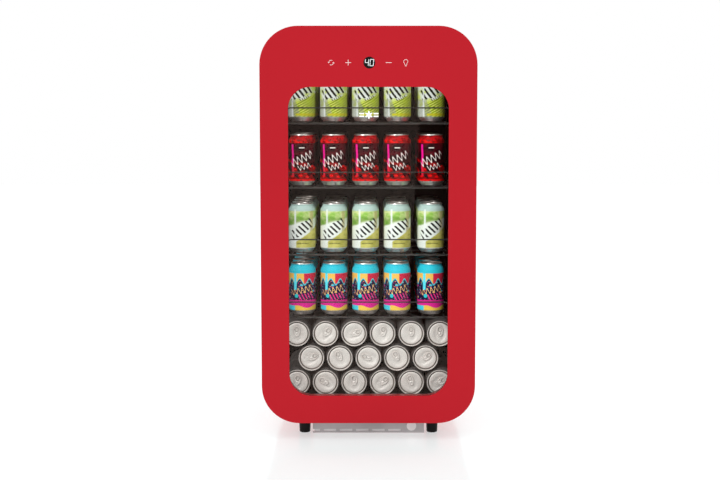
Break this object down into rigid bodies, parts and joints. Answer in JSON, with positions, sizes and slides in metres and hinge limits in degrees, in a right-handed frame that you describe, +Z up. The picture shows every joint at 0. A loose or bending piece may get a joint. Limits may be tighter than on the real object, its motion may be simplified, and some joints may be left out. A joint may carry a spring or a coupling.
{
  "type": "glass door drinks cooler",
  "caption": "Red rounded glass-door drinks can cooler with wire shelves, a hinged door with touch controls, a compressor bay and levelling feet.",
  "frame": {"origin": "on the floor, under the centre of the overall box", "axes": "+Z up, -Y the glass door at the front, +X to the right seen from the front"},
  "size_m": [0.48, 0.49, 0.926],
  "materials": {
    "red_enamel": "gloss",
    "clear_glass": "gloss",
    "red_plastic": "satin",
    "black_plastic": "satin",
    "foam": "matte",
    "grey_steel": "satin",
    "light_grey": "satin",
    "black_steel": "satin",
    "rubber": "matte",
    "copper": "satin",
    "bright_metal": "satin",
    "zinc_steel": "satin",
    "bush_plastic": "satin",
    "lens": "satin",
    "display_black": "gloss",
    "circuit": "satin",
    "can_yellow_green": "gloss",
    "can_dark_red": "gloss",
    "can_pale_green": "gloss",
    "can_cyan": "gloss",
    "can_silver": "gloss"
  },
  "bodies": {
    "root": {"cabinet_shell": "red_enamel", "inner_liner": "black_plastic", "duct_cover": "black_plastic", "fan_grille": "black_plastic", "fan_motor": "black_plastic", "led_housing": "black_plastic", "relay_cover": "black_plastic", "power_board_box": "black_plastic", "cable_gland": "black_plastic", "insulation_foam": "foam", "rear_panel": "grey_steel", "base_plate": "grey_steel", "compressor_cover": "grey_steel", "kick_plate": "light_grey", "kick_cap": "light_grey", "kick_filter": "light_grey", "condenser_tube": "black_steel", "condenser_wires": "black_steel", "condenser_brackets": "black_steel", "compressor": "black_steel", "compressor_mounts": "rubber", "rear_feet": "rubber", "discharge_pipe": "copper", "filter_drier": "copper", "evaporator_plate": "bright_metal", "hinge_bracket_top": "zinc_steel", "hinge_bracket_bottom": "zinc_steel", "hinge_pins": "zinc_steel", "hinge_screws": "zinc_steel", "foot_nuts": "zinc_steel", "panel_screws": "zinc_steel", "led_lens": "lens", "lying_cans": "can_silver"},
    "door": {"door_glass": "clear_glass", "door_border": "red_enamel", "door_frame": "red_plastic", "door_back_panel": "black_plastic", "inner_glass": "clear_glass", "glazing_spacer": "black_plastic", "door_gasket": "rubber", "hinge_bushes": "bush_plastic", "display_module": "circuit", "display_window": "display_black", "touch_springs": "zinc_steel", "door_screws": "zinc_steel"},
    "fan": {"fan_impeller": "black_plastic"},
    "foot_left": {"front_foot_left": "rubber"},
    "foot_right": {"front_foot_right": "rubber"},
    "shelf_1": {"shelf_1": "black_steel", "guard_1": "black_steel", "cans_1": "can_yellow_green"},
    "shelf_2": {"shelf_2": "black_steel", "guard_2": "black_steel", "cans_2": "can_dark_red"},
    "shelf_3": {"shelf_3": "black_steel", "guard_3": "black_steel", "cans_3": "can_pale_green"},
    "shelf_4": {"shelf_4": "black_steel", "guard_4": "black_steel", "cans_4": "can_cyan"}
  },
  "joints": [
    {"name": "door_hinge", "type": "hinge", "parent": "root", "child": "door", "pos_m": [0.224, -0.223, 0.48], "axis": [0, 0, 1], "range_deg": [0, 110]},
    {"name": "fan_spin", "type": "hinge", "parent": "root", "child": "fan", "pos_m": [0, 0.128, 0.79], "axis": [0, 1, 0], "continuous": true},
    {"name": "foot_left_screw", "type": "hinge", "parent": "root", "child": "foot_left", "pos_m": [-0.147, -0.17, 0.04], "axis": [0, 0, 1], "range_deg": [-180, 180]},
    {"name": "foot_right_screw", "type": "hinge", "parent": "root", "child": "foot_right", "pos_m": [0.147, -0.17, 0.04], "axis": [0, 0, 1], "range_deg": [-180, 180]},
    {"name": "shelf_1_slide", "type": "slide", "parent": "root", "child": "shelf_1", "axis": [0, -1, 0], "range_m": [0, 0.02]},
    {"name": "shelf_2_slide", "type": "slide", "parent": "root", "child": "shelf_2", "axis": [0, -1, 0], "range_m": [0, 0.02]},
    {"name": "shelf_3_slide", "type": "slide", "parent": "root", "child": "shelf_3", "axis": [0, -1, 0], "range_m": [0, 0.02]},
    {"name": "shelf_4_slide", "type": "slide", "parent": "root", "child": "shelf_4", "axis": [0, -1, 0], "range_m": [0, 0.02]}
  ]
}
